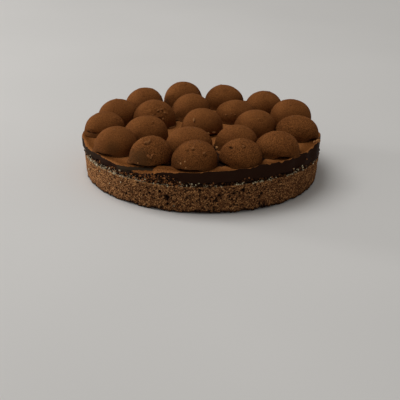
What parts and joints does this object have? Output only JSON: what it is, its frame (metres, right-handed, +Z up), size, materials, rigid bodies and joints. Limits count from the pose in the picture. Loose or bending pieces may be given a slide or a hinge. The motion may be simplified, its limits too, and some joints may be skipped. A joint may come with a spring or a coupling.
{
  "type": "flourless chocolate cake",
  "caption": "Round single-layer flourless chocolate cake with a ganache layer and cocoa-dusted piped domes on top.",
  "frame": {"origin": "centre of the cake's foot, on the surface it stands on", "axes": "+Z up; the side that the picture shows faces -Y, with +X to its right"},
  "size_m": [0.1912, 0.1913, 0.0535],
  "materials": {
    "sponge": "dry open crumb",
    "crust": "dry crumbs and sugar crystals",
    "ganache": "satin, set chocolate cream",
    "cocoa": "dry powder over piped cream"
  },
  "bodies": {
    "root": {"sponge_base": "sponge", "crumb_crust": "crust", "ganache_layer": "ganache", "dome_outer_01": "cocoa", "dome_outer_02": "cocoa", "dome_outer_03": "cocoa", "dome_outer_04": "cocoa", "dome_outer_05": "cocoa", "dome_outer_06": "cocoa", "dome_outer_07": "cocoa", "dome_outer_08": "cocoa", "dome_outer_09": "cocoa", "dome_outer_10": "cocoa", "dome_outer_11": "cocoa", "dome_outer_12": "cocoa", "dome_outer_13": "cocoa", "dome_inner_1": "cocoa", "dome_inner_2": "cocoa", "dome_inner_3": "cocoa", "dome_inner_4": "cocoa", "dome_inner_5": "cocoa", "dome_inner_6": "cocoa", "dome_inner_7": "cocoa", "dome_centre": "cocoa"}
  },
  "joints": []
}
